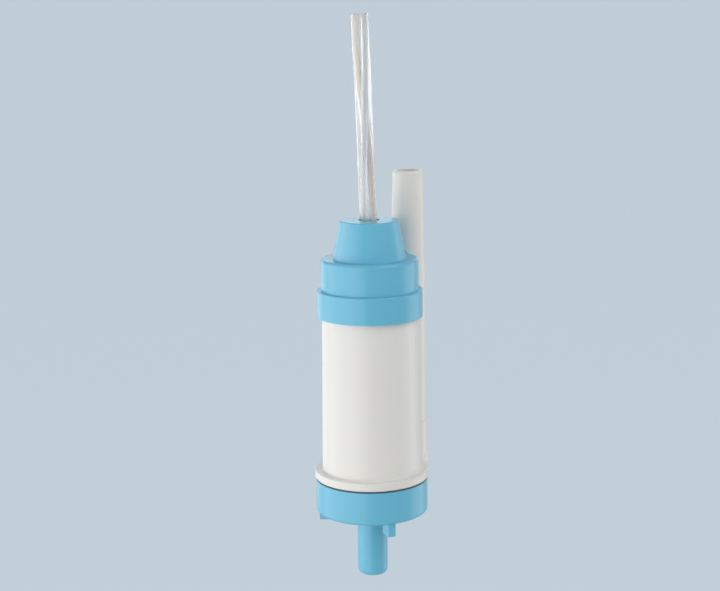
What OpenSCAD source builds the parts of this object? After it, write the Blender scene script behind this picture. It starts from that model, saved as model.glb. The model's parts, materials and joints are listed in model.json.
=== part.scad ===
// Submersible 12 V water pump for a caravan tank.
// Heights are measured from the base cover's lower rim along the pump axis.
// The finished pieces are moved so that the origin is at the outlet's hose stop.

/* [Base cover] */
// Outer diameter of the base cover
base_d = 42.6; // [41.6:0.1:46]
// Height of the cover's outer wall
base_h = 12.6; // [12:0.2:15]
// Wall thickness of the cover
base_wall = 2.2; // [1.8:0.1:2.6]
// Thickness of the cover's floor
base_floor_t = 2.5; // [2:0.1:3]
// Depth of the recess under the floor
base_recess = 3.5; // [2.5:0.25:4]
// Rounding of the cover's lower edge
base_edge_r = 1; // [0.5:0.1:2]
// Height of the feet below the cover
foot_h = 5; // [3:0.5:8]
// Width of a foot around the rim
foot_w = 2.8; // [2:0.2:4]
// Radial depth of a foot
foot_depth = 6; // [4:0.5:8]
// Step from the cover's outer face back to the feet
foot_inset = 1; // [0.8:0.1:2]

/* [Inlet spigot] */
// Outer diameter of the inlet spigot
inlet_d = 11.5; // [11:0.1:12.5]
// Bore of the inlet spigot
inlet_bore_d = 8.4; // [7:0.1:9]
// Length of the spigot below the cover
inlet_l = 25.8; // [20:0.2:32]
// Rounding of the inlet's mouth
inlet_tip_r = 1.9; // [1:0.1:2.6]

/* [Bayonet] */
// Height of a bayonet lug and of the hook above it
lug_t = 1.6; // [1.2:0.1:2]
// Width of a lug or hook, in degrees
lug_deg = 28; // [20:2:36]
// Reach of the cover's hooks in from its wall
hook_reach = 1; // [0.8:0.1:1.4]
// Wall of the housing's skirt inside the cover
skirt_wall = 1.5; // [1.2:0.1:2]
// Clearance between the bayonet's faces
bayonet_gap = 0.3; // [0.2:0.05:0.4]

/* [Housing] */
// Height of the flange
flange_h = 3.1; // [2.5:0.1:4]
// Step of the flange out past the base cover
flange_lip = 0.3; // [0:0.1:1]
// Rounding of the flange's edges
flange_edge_r = 0.4; // [0.2:0.1:1]
// Outer diameter of the body tube at its foot
tube_d = 37.5; // [36.5:0.1:38]
// Loss of the tube's outer radius from its foot to its upper end
tube_draft = 0.8; // [0:0.1:1]
// Wall thickness of the body tube at its foot
tube_wall = 1.7; // [1.6:0.05:2]
// Length of tube seen between the flange and the cap
tube_l = 59.1; // [54:0.5:70]
// Fillet where the tube meets the flange
foot_fillet = 0.5; // [0.3:0.1:1.5]
// Height of the water space between the flange and the bulkhead
collector_h = 3.7; // [3:0.1:5]
// Thickness of the bulkhead under the motor
bulkhead_t = 2.4; // [2:0.1:3]

/* [Outlet pipe] */
// Diameter of the straight hose seat
outlet_d = 12.5; // [12:0.1:12.7]
// Bore of the outlet pipe
outlet_bore_d = 8.4; // [7:0.1:9]
// Diameter at the tip
outlet_tip_d = 11.5; // [11:0.1:11.9]
// Diameter of the pipe's stem below the hose stop
outlet_stem_d = 13.2; // [12.8:0.1:13.4]
// Length of the straight hose seat
outlet_seat_l = 12.7; // [10:0.1:16]
// Length of the taper to the tip
outlet_taper_l = 17.3; // [12:0.1:22]
// Rounding of the outlet's mouth
mouth_r = 0.9; // [0.3:0.1:1]
// Length over which the stem narrows to the hose seat, up to the hose stop
outlet_neck_l = 8; // [4:0.5:10]
// Depth of the hollowed side by which the stem lies along the tube
outlet_flat = 1.55; // [1:0.05:1.8]
// Height of the hose stop above the cap's shoulder
hose_stop_rise = 0.6; // [0.3:0.1:3]
// Height of the socket that holds the pipe's foot, above the flange
socket_h = 13.6; // [8:0.2:20]
// Wall of that socket
socket_wall = 0.4; // [0.3:0.05:0.8]
// Step of the flange out past the socket
socket_lobe = 0.6; // [0.4:0.1:1.2]

/* [Cap] */
// Height of the cap's collar
collar_h = 10.1; // [9:0.1:12]
// Wall of the collar round the tube
collar_wall = 1.65; // [1.4:0.05:1.9]
// Height of the shoulder above the collar
shoulder_h = 11.8; // [10:0.1:14]
// Step from the collar in to the shoulder
shoulder_step = 1.55; // [1.3:0.05:1.7]
// Rounding of the shoulder's upper edge
shoulder_edge_r = 1.2; // [0.4:0.1:1.5]
// Diameter of the cone at its foot
cone_d = 27.4; // [24:0.1:28]
// Diameter of the cone at its top
cone_top_d = 21.7; // [20:0.1:23]
// Height of the cone
cone_h = 14.2; // [13:0.1:18]
// Wall thickness of the cap
cap_wall = 1.8; // [1.6:0.1:2]
// Thickness of the cap above the tube's end
collar_roof = 1.2; // [0.8:0.1:1.6]
// Length of the cap's inner sleeve that presses on the motor
plunger_l = 4.8; // [3:0.1:6]
// Wall of that sleeve
plunger_wall = 2.4; // [2.2:0.1:2.6]
// Length of the resin that is cast round the cable in the cone
potting_l = 9.3; // [6:0.1:10]
// Gap round the cable where it leaves the cone
cable_hole_gap = 0.7; // [0.3:0.05:0.8]

/* [Motor] */
// Wall of the motor can
can_wall = 1.1; // [0.8:0.1:1.3]
// Height of the motor's end cap
end_cap_h = 14; // [13.6:0.1:15]
// Diameter of the motor shaft
shaft_d = 3.17; // [3:0.01:3.2]
// Thickness of the magnets
magnet_t = 3.4; // [2.8:0.1:3.8]
// Air gap between the magnets and the armature
air_gap = 0.6; // [0.4:0.05:1]
// Diameter of the commutator
commutator_d = 9; // [8.4:0.1:9.4]
// Length of a carbon brush
brush_l = 5.2; // [4.5:0.1:5.6]
// Width of a carbon brush
brush_w = 4.5; // [4:0.1:4.8]
// Height of a carbon brush
brush_h = 3.9; // [3.4:0.1:4.1]
// Outer diameter of a brush spring
spring_d = 3.4; // [3:0.1:3.5]

/* [Wet end] */
// Gap between the impeller's rim and the chamber wall
volute_gap = 1.5; // [1:0.1:2]
// Height of the impeller's vanes
vane_h = 5.8; // [5:0.1:6.4]
// Thickness of a vane
vane_t = 1.1; // [0.8:0.1:1.4]
// Outer diameter of the shaft seal
seal_d = 10; // [9.6:0.1:10.4]
// Height of the shaft seal
seal_h = 3.2; // [3:0.1:3.4]

/* [Cable] */
// Outer diameter of the cable's sheath
cable_d = 6.4; // [5.8:0.1:6.6]
// Diameter of a conductor
conductor_d = 1.9; // [1.5:0.1:2]
// Distance of a conductor from the cable's middle
conductor_offset = 1.25; // [1.2:0.05:1.35]
// Twist of the two conductors over the whole cable, in degrees
conductor_twist = 200; // [0:5:220]

/* [Hidden] */
$fn = 64;

// Colours of the finished pieces
white_plastic = [0.91, 0.91, 0.89];
blue_plastic = [0.43, 0.70, 0.83];
black_rubber = [0.23, 0.25, 0.27];
clear_pvc = [0.85, 0.86, 0.84, 0.6];
tinned_copper = [0.66, 0.69, 0.72];
bare_copper = [0.78, 0.52, 0.34];
zinc_steel = [0.70, 0.71, 0.72];
brass = [0.80, 0.66, 0.36];
ferrite = [0.20, 0.20, 0.21];
black_plastic = [0.12, 0.12, 0.13];

// Fits that several pieces share
over = 1;
slip_gap = 0.05;
run_gap = 0.03;
loose_gap = 0.3;

// Heights of the outer pieces
base_r = base_d / 2;
base_bore_r = base_r - base_wall;
floor_z = base_recess + base_floor_t;
gasket_t = 0.6;
joint_gap = 0.1;
flange_z = base_h + joint_gap + gasket_t;
flange_top = flange_z + flange_h;
flange_r = base_r + flange_lip;
bulkhead_z = flange_top + collector_h;
bulkhead_top = bulkhead_z + bulkhead_t;
collar_z = flange_top + tube_l;
shoulder_z = collar_z + collar_h;
tube_end_z = shoulder_z - collar_roof;
shoulder_top = shoulder_z + shoulder_h;
cone_top = shoulder_top + cone_h;
hose_stop_z = shoulder_top + hose_stop_rise;
seat_top = hose_stop_z + outlet_seat_l;
outlet_tip_z = seat_top + outlet_taper_l;

// Radii of the housing and the cap
tube_r = tube_d / 2;
tube_top_r = tube_r - tube_draft;
tube_bore_r = tube_r - tube_wall;
draft_z = flange_top + 2 * foot_fillet;
tube_collar_r = tube_r - tube_draft * (collar_z - draft_z) / (tube_end_z - draft_z);
stem_r = outlet_stem_d / 2;
outlet_offset = tube_r + stem_r - outlet_flat;
socket_r = stem_r + slip_gap + socket_wall;
socket_top = flange_top + socket_h;
socket_floor_t = 1.5;
socket_z = flange_z + socket_floor_t;
collar_bore_r = tube_collar_r + slip_gap * 2;
collar_r = collar_bore_r + collar_wall;
shoulder_r = collar_r - shoulder_step;
shoulder_bore_r = shoulder_r - cap_wall;
pipe_notch_r = stem_r + loose_gap;
cable_hole_r = cable_d / 2 + cable_hole_gap;

// Bayonet, with three lugs on the skirt and three hooks in the cover
LUGS = 3;
hook_r = base_bore_r - hook_reach;
lug_r = base_bore_r - bayonet_gap;
skirt_r = hook_r - bayonet_gap;
chamber_r = skirt_r - skirt_wall;
skirt_floor_gap = 0.8;
skirt_z = floor_z + skirt_floor_gap;
lug_rise = 0.3;
lug_z = skirt_z + lug_rise;
lug_top = lug_z + lug_t;
hook_z = lug_top + bayonet_gap;
stop_deg = 5;
stop_gap_deg = 1;

// Feet, with one under the outlet pipe
FEET = 3;
foot_r = base_r - foot_inset;

// Shaft seal in the boss under the bulkhead
seal_r = seal_d / 2;
seal_lip_t = 0.8;
seal_boss_wall = 2.2;
washer_t = 0.6;
nose_l = 1.5;
seal_boss_z = bulkhead_top - nose_l - washer_t - seal_h - seal_lip_t;
seal_z = seal_boss_z + seal_lip_t;
seal_top = seal_z + seal_h;
seal_hole_r = seal_r - seal_lip_t;
seal_skin = 0.9;
garter_r = 0.3;

// Motor, pressed between the bulkhead and the cap
step_z = tube_end_z + slip_gap;
plunger_z = step_z - plunger_l;
plunger_r = tube_bore_r - loose_gap;
cap_seal_r = 0.7;
cap_seal_z = plunger_z + plunger_l / 2;
cap_seal_groove_r = tube_bore_r - 2 * (cap_seal_r + slip_gap);
cushion_t = 2.8;
motor_top = plunger_z - cushion_t;
motor_gasket_t = 1;
can_z = bulkhead_top + motor_gasket_t;
can_top = motor_top - end_cap_h;
can_r = tube_bore_r - loose_gap;
can_bore_r = can_r - can_wall;
nose_z = seal_top + washer_t;
nose_r = seal_r - loose_gap;
shaft_r = shaft_d / 2;
press_bore_r = shaft_r + slip_gap / 2;
bearing_r = 3.2;
bearing_l = 4.4;
front_bearing_z = nose_z + can_wall / 2;
end_plate_t = 2.5;
rear_bearing_z = motor_top - bearing_l;
shaft_floor_gap = 1.2;
shaft_stub = 1.1;
shaft_bottom = floor_z + shaft_floor_gap;
shaft_top = motor_top + shaft_stub;
thrust_gap = 0.2;
washer_inset = 0.2;
thrust_washer_t = 0.9;

// Magnets and armature
magnet_r = can_bore_r - slip_gap;
magnet_bore_r = magnet_r - magnet_t;
magnet_deg = 134;
magnet_front_gap = 6;
magnet_rear_gap = 3;
magnet_z = can_z + magnet_front_gap;
magnet_top = can_top - magnet_rear_gap;
armature_r = magnet_bore_r - air_gap;
core_inset = 3;
core_z = magnet_z + core_inset;
core_top = magnet_top - core_inset;
POLES = 5;
core_hub_r = 5;
tooth_w = 3.2;
pole_t = 1.5;
pole_deg = 60;
winding_gap = 0.3;
winding_l = 3.7;

// Commutator, with one segment for each pole
commutator_r = commutator_d / 2;
segment_t = 1.3;
commutator_core_r = commutator_r - segment_t;
commutator_rise = 0.5;
commutator_z = can_top + commutator_rise;
commutator_l = 7.4;
segment_gap_deg = 6;
tang_h = 1;
tang_reach = 1.1;
tang_rise = 0.3;
tang_z = commutator_z + tang_rise;

// Brush gear, along X
brush_rise = 4.5;
brush_z = can_top + brush_rise;
brush_in = commutator_r + slip_gap;
brush_out = brush_in + brush_l;
holder_t = 0.6;
end_cap_wall = 1.55;
end_cap_bore_r = can_r - end_cap_wall;
end_cap_lip_t = 0.6;
end_cap_lip_l = 2;
bearing_boss_wall = 1.6;
holder_in_gap = 1.9;
holder_out_gap = 0.4;
holder_in = commutator_r + holder_in_gap;
holder_out = end_cap_bore_r - holder_out_gap;
holder_w = brush_w + 2 * (slip_gap * 2 + holder_t);
holder_h = brush_h + 2 * (slip_gap * 2 + holder_t);
terminal_t = 0.6;
terminal_w = 4;
terminal_rise = 5.5;
terminal_inset = 2.5;
terminal_x = holder_out - terminal_w - terminal_inset;
terminal_top = motor_top + terminal_rise;

// Brush spring
spring_wire = 0.36;
spring_turns = 5;
spring_rings = 8;
spring_gap = slip_gap;
spring_in = brush_out + spring_gap + spring_wire / 2;
spring_seat = holder_out - holder_t - spring_gap - spring_wire / 2;
spring_pitch = (spring_seat - spring_in) / spring_turns;

// Impeller
impeller_r = chamber_r - volute_gap;
impeller_floor_gap = 0.6;
impeller_z = floor_z + impeller_floor_gap;
plate_z = impeller_z + vane_h;
plate_t = 1.4;
VANES = 6;
vane_eye_r = 5.2;
vane_steps = 10;
vane_sweep = 62;
hub_r = 3.9;
hub_top = seal_boss_z - loose_gap;

// Cable route from the potted end up to the cut end, with its heights from the cone's top
cable_points = [
    [0, 0, -11.5], [0, 0, -6.5], [0, 0, -1.5], [-0.2, -0.2, 4.5], [-0.4, -0.3, 10.5], [-0.5, -0.4, 16.5],
    [-0.6, -0.5, 22.5], [-0.7, -0.6, 28.5], [-0.9, -0.7, 34.5], [-1, -0.8, 40.5], [-1.2, -1, 46.5],
    [-1.4, -1.1, 52.5], [-1.6, -1.2, 58.5], [-1.8, -1.4, 64.5], [-1.9, -1.6, 70.5], [-2.1, -1.7, 75]
];
cable_route = [for (p = cable_points) p + [0, 0, cone_top]];
// Tail of the copper conductor up to the stripped cable, with its heights from the terminals' top
tail_points = [[10.5, 4.6, -2.5], [10.5, 4.6, 1.5], [9, 4.2, 5.5], [5, 3, 9.5], [1.2, 1.6, 13]];
copper_tail = [for (p = tail_points) p + [0, 0, terminal_top]];
tinned_tail = [for (p = copper_tail) [-p[0], -p[1], p[2]]];
lead_in = 2;
cable_sides = 12;
conductor_sides = 8;
tinned_start_deg = -165;
lumen_r = conductor_d / 2 + 2 * slip_gap;

// Sweeps of round sections along a list of points
function unit(v) = v / norm(v);
function ahead(p, i) = p[min(i + 1, len(p) - 1)];
function behind(p, i) = p[max(i - 1, 0)];
function tangent(p, i) = unit(ahead(p, i) - behind(p, i));
function ring_points(p, i, r, sides, side_axis) =
    let (t = tangent(p, i), u = unit(cross(t, side_axis)), v = cross(t, u))
    [for (k = [0 : sides - 1]) p[i] + r * (cos(360 * k / sides) * u + sin(360 * k / sides) * v)];

module sweep(p, r, sides, side_axis) {
    n = len(p);
    rings = [for (i = [0 : n - 1]) each ring_points(p, i, r, sides, side_axis)];
    walls = [for (i = [0 : n - 2]) for (k = [0 : sides - 1])
        let (a = i * sides + k, b = i * sides + (k + 1) % sides)
        each [[a, a + sides, b], [b, a + sides, b + sides]]];
    first = [for (k = [1 : sides - 2]) [0, k, k + 1]];
    last_ring = (n - 1) * sides;
    last = [for (k = [1 : sides - 2]) [last_ring, last_ring + k + 1, last_ring + k]];
    polyhedron(rings, concat(walls, first, last));
}

// The middle of one conductor at each point of the cable's route
function lay_deg(i) = conductor_twist * i / (len(cable_route) - 1);
function conductor_path(start_deg) = [for (i = [0 : len(cable_route) - 1])
    let (a = start_deg + lay_deg(i))
    cable_route[i] + conductor_offset * [cos(a), sin(a), 0]];
// The same with a straight lead-in below the sheath's stripped end
function led_in(path) = concat([path[0] - [0, 0, lead_in]], path);

// The helix of a brush spring along X
function spring_helix() = [for (i = [0 : spring_turns * spring_rings])
    let (a = 360 * i / spring_rings, r = (spring_d - spring_wire) / 2)
    [spring_in + spring_pitch * i / spring_rings, r * cos(a), brush_z + r * sin(a)]];
spring_points = spring_helix();
last_point = len(spring_points) - 1;
spring_clear = min([for (i = [0 : last_point]) for (k = [i + spring_rings / 2 : last_point])
    norm(spring_points[i] - spring_points[k])]) - spring_wire;
echo(least_gap_between_spring_curls = spring_clear);

// Rings, sectors and edge cuts that several pieces share
module ring(r_out, r_in, z0, z1) {
    rotate_extrude() translate([r_in, z0]) square([r_out - r_in, z1 - z0]);
}

module sector(r_out, r_in, z0, z1, deg) {
    rotate([0, 0, -deg / 2]) rotate_extrude(angle = deg)
        translate([r_in, z0]) square([r_out - r_in, z1 - z0]);
}

// What a rounded outer edge takes off a corner whose body lies towards [-x, side * y]
module edge_cut(x, y, r, side) {
    translate([x - r, y + side * r]) difference() {
        translate([0, side > 0 ? -r - over : 0]) square([r + over, r + over]);
        circle(r);
    }
}

module around(count) {
    for (i = [0 : count - 1]) rotate([0, 0, 360 * i / count]) children();
}

module at_outlet_origin() {
    translate([0, -outlet_offset, -hose_stop_z]) children();
}

// Housing: tube, flange, skirt and the pipe's socket in one moulding
module tube_outline() {
    polygon([[0, flange_z], [tube_r, flange_z], [tube_r, draft_z], [tube_top_r, tube_end_z],
        [0, tube_end_z]]);
}

module housing_outline() {
    difference() {
        union() {
            tube_outline();
            translate([0, flange_z]) square([flange_r, flange_h]);
            translate([0, skirt_z]) square([skirt_r, flange_z - skirt_z + over]);
            translate([tube_r, flange_top]) difference() {
                translate([-over, -over]) square(foot_fillet + over);
                translate([foot_fillet, foot_fillet]) circle(foot_fillet);
            }
        }
        edge_cut(flange_r, flange_z, flange_edge_r, 1);
        edge_cut(flange_r, flange_top, flange_edge_r, -1);
    }
}

module housing_hollow_outline() {
    translate([0, bulkhead_top]) square([tube_bore_r, tube_end_z - bulkhead_top + over]);
    translate([0, seal_z]) square([seal_r, bulkhead_top - seal_z + over]);
    translate([0, seal_boss_z - over]) square([seal_hole_r, seal_lip_t + 2 * over]);
    difference() {
        translate([0, skirt_z - over]) square([chamber_r, bulkhead_z - skirt_z + over]);
        translate([0, seal_boss_z]) square([seal_r + seal_boss_wall, bulkhead_z - seal_boss_z + over]);
    }
}

module socket_outline() {
    lobe_r = socket_r + socket_lobe;
    difference() {
        union() {
            translate([0, flange_z]) square([socket_r, socket_top - flange_z]);
            translate([0, flange_z]) square([lobe_r, flange_h]);
        }
        edge_cut(lobe_r, flange_z, flange_edge_r, 1);
        edge_cut(lobe_r, flange_top, flange_edge_r, -1);
        edge_cut(socket_r, socket_top, socket_wall / 2, -1);
    }
}

// Room for the pipe's stem beside the tube
module stem_room(top) {
    difference() {
        translate([0, outlet_offset, socket_z]) cylinder(r = stem_r + slip_gap, h = top - socket_z);
        rotate_extrude() tube_outline();
    }
}

// Way for the water from the chamber into the pipe
module outlet_window(bottom) {
    window_w = outlet_bore_d - over;
    translate([-window_w / 2, chamber_r - over, bottom])
        cube([window_w, outlet_offset - chamber_r + over, bulkhead_z - bottom]);
}

module pump_housing() {
    color(white_plastic) difference() {
        union() {
            rotate_extrude() housing_outline();
            translate([0, outlet_offset, 0]) rotate_extrude() socket_outline();
            around(LUGS) {
                sector(lug_r, chamber_r + skirt_wall / 2, lug_z, lug_top, lug_deg);
                rotate([0, 0, -lug_deg / 2 - stop_gap_deg - stop_deg / 2])
                    sector(lug_r, chamber_r + skirt_wall / 2, lug_z, flange_z + flange_h / 2, stop_deg);
            }
        }
        rotate_extrude() housing_hollow_outline();
        stem_room(socket_top + over);
        outlet_window(socket_z);
    }
}

// Outlet pipe: stem hollowed along the tube, hose seat and taper
module outlet_outline() {
    difference() {
        union() {
            polygon([[0, socket_z], [stem_r, socket_z], [stem_r, hose_stop_z - outlet_neck_l],
                [outlet_d / 2, hose_stop_z], [0, hose_stop_z]]);
            translate([0, hose_stop_z]) square([outlet_d / 2, outlet_seat_l]);
            polygon([[0, seat_top], [outlet_d / 2, seat_top], [outlet_tip_d / 2, outlet_tip_z],
                [0, outlet_tip_z]]);
        }
        edge_cut(outlet_tip_d / 2, outlet_tip_z, mouth_r, -1);
    }
}

module outlet_pipe() {
    color(white_plastic) difference() {
        translate([0, outlet_offset, 0]) rotate_extrude() outlet_outline();
        translate([0, outlet_offset, socket_z - over])
            cylinder(d = outlet_bore_d, h = outlet_tip_z - socket_z + 2 * over);
        cylinder(r = tube_r + slip_gap, h = hose_stop_z);
        outlet_window(socket_z - over);
    }
}

// Base cover: cup, inlet spigot, feet and bayonet hooks in one moulding
module base_outline() {
    difference() {
        union() {
            translate([base_bore_r, 0]) square([base_wall, base_h]);
            translate([0, base_recess]) square([base_r - base_wall / 2, base_floor_t]);
            translate([0, -inlet_l]) square([inlet_d / 2, inlet_l + base_recess + over]);
        }
        translate([0, -inlet_l - over]) square([inlet_bore_d / 2, inlet_l + floor_z + 2 * over]);
        edge_cut(inlet_d / 2, -inlet_l, inlet_tip_r, 1);
        edge_cut(base_r, 0, base_edge_r, 1);
    }
}

module base_cover() {
    color(blue_plastic) {
        rotate_extrude() base_outline();
        around(LUGS) sector(base_r - base_wall / 2, hook_r, hook_z, hook_z + lug_t, lug_deg);
        around(FEET) translate([-foot_w / 2, foot_r - foot_depth, -foot_h])
            cube([foot_w, foot_depth, foot_h + base_recess + base_floor_t / 2]);
    }
}

module base_gasket() {
    color(black_rubber) ring(base_r - flange_edge_r / 2, base_bore_r, flange_z - gasket_t, flange_z);
}

// Cap: collar over the tube, shoulder, and cone for the cable
module cap_outline() {
    difference() {
        union() {
            translate([0, collar_z]) square([collar_r, collar_h]);
            translate([0, shoulder_z - over]) square([shoulder_r, shoulder_h + over]);
            polygon([[0, shoulder_top - over], [cone_d / 2, shoulder_top - over], [cone_d / 2, shoulder_top],
                [cone_top_d / 2, cone_top], [0, cone_top]]);
        }
        edge_cut(collar_r, shoulder_z, flange_edge_r, -1);
        edge_cut(shoulder_r, shoulder_top, shoulder_edge_r, -1);
        edge_cut(cone_top_d / 2, cone_top, flange_edge_r, -1);
    }
}

module cone_hollow_outline(shrink) {
    ceiling = cone_top - cap_wall;
    polygon([[0, shoulder_top - cap_wall], [cone_d / 2 - cap_wall - shrink, shoulder_top - cap_wall],
        [cone_top_d / 2 - cap_wall - shrink, ceiling - shrink], [0, ceiling - shrink]]);
}

module top_cap() {
    groove_h = 2 * (cap_seal_r + slip_gap);
    root_top = step_z + plunger_wall;
    color(blue_plastic) {
        difference() {
            rotate_extrude() difference() {
                cap_outline();
                translate([0, collar_z - over]) square([collar_bore_r, step_z - collar_z + over]);
                translate([0, step_z - over])
                    square([shoulder_bore_r, shoulder_top - cap_wall - step_z + over]);
                translate([0, -slip_gap]) cone_hollow_outline(0);
                translate([0, cone_top - cap_wall - over]) square([cable_hole_r, cap_wall + 2 * over]);
            }
            difference() {
                translate([0, outlet_offset, collar_z - over])
                    cylinder(r = pipe_notch_r, h = collar_h + 2 * over);
                cylinder(r = tube_r, h = cone_top);
            }
        }
        difference() {
            union() {
                ring(plunger_r, plunger_r - plunger_wall, plunger_z, step_z);
                ring(shoulder_bore_r + slip_gap, plunger_r - plunger_wall, step_z - slip_gap, root_top);
            }
            ring(tube_r, cap_seal_groove_r, cap_seal_z - groove_h / 2, cap_seal_z + groove_h / 2);
        }
    }
}

module cap_seal_ring() {
    color(black_rubber) translate([0, 0, cap_seal_z]) rotate_extrude()
        translate([cap_seal_groove_r + slip_gap + cap_seal_r, 0]) circle(cap_seal_r);
}

module potting_resin() {
    color(black_plastic) rotate_extrude() difference() {
        cone_hollow_outline(slip_gap);
        translate([0, shoulder_top - 2 * cap_wall]) square([cable_d / 2 + slip_gap, cone_h + 2 * cap_wall]);
        translate([0, shoulder_z]) square([cone_d, cone_top - cap_wall - potting_l - shoulder_z]);
    }
}

// Cable
module cable_sheath() {
    color(clear_pvc) difference() {
        sweep(cable_route, cable_d / 2, cable_sides, [0, 1, 0]);
        for (turn = [0, 180])
            sweep(lumen_path(tinned_start_deg + turn), lumen_r, conductor_sides, [0, 1, 0]);
    }
}

// A lumen runs a little past both ends of the sheath
function lumen_path(start_deg) = let (p = led_in(conductor_path(start_deg)))
    concat(p, [2 * p[len(p) - 1] - p[len(p) - 2]]);

module conductor_tinned() {
    route = concat(tinned_tail, led_in(conductor_path(tinned_start_deg)));
    color(tinned_copper) sweep(route, conductor_d / 2, conductor_sides, [0, 1, 0]);
}

module conductor_copper() {
    route = concat(copper_tail, led_in(conductor_path(tinned_start_deg + 180)));
    color(bare_copper) sweep(route, conductor_d / 2, conductor_sides, [0, 1, 0]);
}

// Motor
module motor_can() {
    color(zinc_steel) rotate_extrude() difference() {
        union() {
            translate([0, can_z]) square([can_r, can_top - can_z]);
            translate([0, nose_z]) square([nose_r, can_z - nose_z + over]);
        }
        difference() {
            translate([0, can_z + can_wall]) square([can_bore_r, can_top - can_z]);
            translate([0, can_z]) square([nose_r, front_bearing_z + bearing_l - can_z]);
        }
        translate([0, front_bearing_z]) square([bearing_r, can_top - front_bearing_z]);
        translate([0, nose_z - over]) square([shaft_r + loose_gap, bearing_l]);
    }
}

module motor_magnets() {
    color(ferrite) for (turn = [0, 180]) rotate([0, 0, turn])
        sector(magnet_r, magnet_bore_r, magnet_z, magnet_top, magnet_deg);
}

module magnet_clips() {
    clip_t = 0.6;
    clip_deg = 179 - magnet_deg;
    leg_deg = 2;
    color(zinc_steel) for (turn = [90, 270]) rotate([0, 0, turn]) difference() {
        sector(magnet_r, magnet_bore_r + over, magnet_z, magnet_top, clip_deg);
        sector(magnet_r - clip_t, magnet_bore_r, magnet_z - over, magnet_top + over, clip_deg - 2 * leg_deg);
    }
}

module front_bearing() {
    color(brass) ring(bearing_r, shaft_r + run_gap, front_bearing_z, front_bearing_z + bearing_l);
}

module rear_bearing() {
    color(brass) ring(bearing_r, shaft_r + run_gap, rear_bearing_z, motor_top);
}

module motor_end_cap() {
    shelf_z = brush_z + holder_h / 2;
    plate_z = motor_top - end_plate_t;
    lip_bore_r = end_cap_bore_r - end_cap_lip_t;
    color(black_plastic) difference() {
        union() {
            ring(can_r, end_cap_bore_r, can_top, motor_top);
            ring(can_bore_r - slip_gap, lip_bore_r, can_top - end_cap_lip_l, can_top + over);
            translate([0, 0, plate_z]) cylinder(r = end_cap_bore_r + slip_gap, h = end_plate_t);
            translate([0, 0, rear_bearing_z]) cylinder(r = bearing_r + bearing_boss_wall, h = bearing_l);
            for (turn = [0, 180]) rotate([0, 0, turn]) translate([holder_in, -holder_w / 2, shelf_z])
                cube([end_cap_bore_r - holder_in, holder_w, plate_z - shelf_z + slip_gap]);
        }
        translate([0, 0, rear_bearing_z - over]) cylinder(r = bearing_r, h = bearing_l + 2 * over);
        for (turn = [0, 180]) rotate([0, 0, turn])
            translate([terminal_x - slip_gap, holder_w / 2 - slip_gap, plate_z - over])
                cube([terminal_w + 2 * slip_gap, terminal_t + 2 * slip_gap, end_plate_t + 2 * over]);
    }
}

module holder_tube() {
    inner_w = holder_w - 2 * holder_t;
    inner_h = holder_h - 2 * holder_t;
    difference() {
        translate([holder_in, -holder_w / 2, brush_z - holder_h / 2])
            cube([holder_out - holder_in, holder_w, holder_h]);
        translate([holder_in - over, -inner_w / 2, brush_z - inner_h / 2])
            cube([holder_out - holder_in - holder_t + over, inner_w, inner_h]);
    }
}

module brush_holders() {
    color(brass) for (turn = [0, 180]) rotate([0, 0, turn]) holder_tube();
}

module brush() {
    difference() {
        translate([0, -brush_w / 2, brush_z - brush_h / 2]) cube([brush_out, brush_w, brush_h]);
        translate([0, 0, brush_z - brush_h]) cylinder(r = brush_in, h = 2 * brush_h);
    }
}

module brush_right() {
    color(ferrite) brush();
}

module brush_left() {
    color(ferrite) rotate([0, 0, 180]) brush();
}

module brush_spring() {
    sweep(spring_points, spring_wire / 2, 6, [1, 0, 0]);
}

module brush_spring_right() {
    color(zinc_steel) brush_spring();
}

module brush_spring_left() {
    color(zinc_steel) rotate([0, 0, 180]) brush_spring();
}

module motor_terminals() {
    color(brass) for (turn = [0, 180]) rotate([0, 0, turn])
        translate([terminal_x, holder_w / 2, brush_z])
            cube([terminal_w, terminal_t, terminal_top - brush_z]);
}

module suppression_capacitor() {
    disc_r = 3.6;
    disc_t = 2.4;
    leg_d = 0.6;
    leg_z = terminal_top - 2.5;
    bearing_deg = atan2(holder_w / 2, terminal_x);
    leg_l = terminal_x / cos(bearing_deg) - leg_d / 2;
    color([0.78, 0.50, 0.22]) rotate([0, 0, bearing_deg]) {
        translate([0, disc_t / 2, leg_z + disc_r / 2]) rotate([90, 0, 0]) cylinder(r = disc_r, h = disc_t);
        translate([-leg_l, 0, leg_z]) rotate([0, 90, 0]) cylinder(d = leg_d, h = 2 * leg_l);
    }
}

module motor_gasket() {
    color(black_rubber) ring(can_r - over, nose_r + over, bulkhead_top, can_z);
}

module motor_cushion() {
    color(black_rubber) ring(can_r, plunger_r - plunger_wall - over, motor_top, plunger_z);
}

// Seal
module shaft_seal() {
    lip_r = shaft_r + run_gap;
    lip_l = 2 * seal_skin;
    relief_t = 0.6;
    color(black_rubber) rotate_extrude() difference() {
        translate([lip_r, seal_z]) square([seal_r - slip_gap - lip_r, seal_h]);
        translate([lip_r + seal_skin, seal_z + seal_skin])
            square([seal_r - slip_gap - lip_r - 2 * seal_skin, seal_h]);
        translate([0, seal_z + lip_l]) square([lip_r + relief_t, seal_h]);
    }
}

module seal_spring() {
    color(zinc_steel) translate([0, 0, seal_z + seal_skin + garter_r + slip_gap]) rotate_extrude()
        translate([shaft_r + run_gap + seal_skin + garter_r + slip_gap, 0]) circle(garter_r);
}

module seal_washer() {
    color(zinc_steel) ring(seal_r - slip_gap, shaft_r + loose_gap, seal_top, nose_z);
}

// Rotor
module motor_shaft() {
    color(zinc_steel) translate([0, 0, shaft_bottom]) cylinder(r = shaft_r, h = shaft_top - shaft_bottom);
}

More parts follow.
